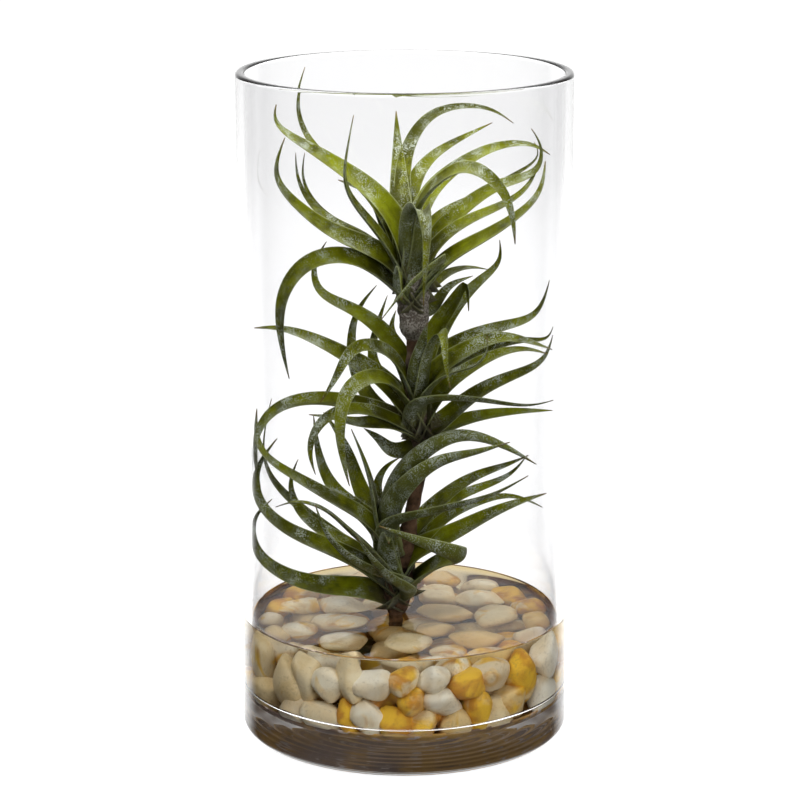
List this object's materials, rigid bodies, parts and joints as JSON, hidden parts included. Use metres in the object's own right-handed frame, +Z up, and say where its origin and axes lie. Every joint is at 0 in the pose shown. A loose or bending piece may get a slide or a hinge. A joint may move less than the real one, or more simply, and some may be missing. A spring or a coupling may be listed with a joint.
{
  "type": "potted succulent in a glass cylinder vase",
  "caption": "Clear glass cylinder vase holding river pebbles under shallow water and a woody-stemmed succulent with rosettes of long channelled leaves.",
  "frame": {"origin": "centre of the vase's underside, on the surface that it stands on", "axes": "+Z up along the vase's axis, -Y towards the front of the display, +X to the right seen from the front"},
  "size_m": [0.15, 0.15, 0.3048],
  "materials": {
    "glass": "clear polished",
    "water": "clear liquid",
    "pebble": "water-smoothed",
    "stem": "dry bark and sheaths",
    "leaf": "matt, grey scurf on the undersides"
  },
  "bodies": {
    "root": {"glass_vase": "glass", "stem": "stem", "pebble_bed": "pebble", "water": "water", "leaf_top_01": "leaf", "leaf_top_02": "leaf", "leaf_top_03": "leaf", "leaf_top_04": "leaf", "leaf_top_05": "leaf", "leaf_top_06": "leaf", "leaf_top_07": "leaf", "leaf_top_08": "leaf", "leaf_top_09": "leaf", "leaf_top_10": "leaf", "leaf_top_11": "leaf", "leaf_top_12": "leaf", "leaf_top_13": "leaf", "leaf_top_14": "leaf", "leaf_top_15": "leaf", "leaf_top_16": "leaf", "leaf_top_17": "leaf", "leaf_top_18": "leaf", "leaf_middle_01": "leaf", "leaf_middle_02": "leaf", "leaf_middle_03": "leaf", "leaf_middle_04": "leaf", "leaf_middle_05": "leaf", "leaf_middle_06": "leaf", "leaf_middle_07": "leaf", "leaf_middle_08": "leaf", "leaf_middle_09": "leaf", "leaf_middle_10": "leaf", "leaf_middle_11": "leaf", "leaf_middle_12": "leaf", "leaf_middle_13": "leaf", "leaf_middle_14": "leaf", "leaf_middle_15": "leaf", "leaf_middle_16": "leaf", "leaf_middle_17": "leaf", "leaf_middle_18": "leaf", "leaf_bottom_01": "leaf", "leaf_bottom_02": "leaf", "leaf_bottom_03": "leaf", "leaf_bottom_04": "leaf", "leaf_bottom_05": "leaf", "leaf_bottom_06": "leaf", "leaf_bottom_07": "leaf", "leaf_bottom_08": "leaf", "leaf_bottom_09": "leaf", "leaf_bottom_10": "leaf", "leaf_bottom_11": "leaf", "leaf_bottom_12": "leaf", "leaf_bottom_13": "leaf", "leaf_bottom_14": "leaf", "leaf_bottom_15": "leaf", "leaf_bottom_16": "leaf", "leaf_bottom_17": "leaf", "leaf_bottom_18": "leaf"}
  },
  "joints": []
}
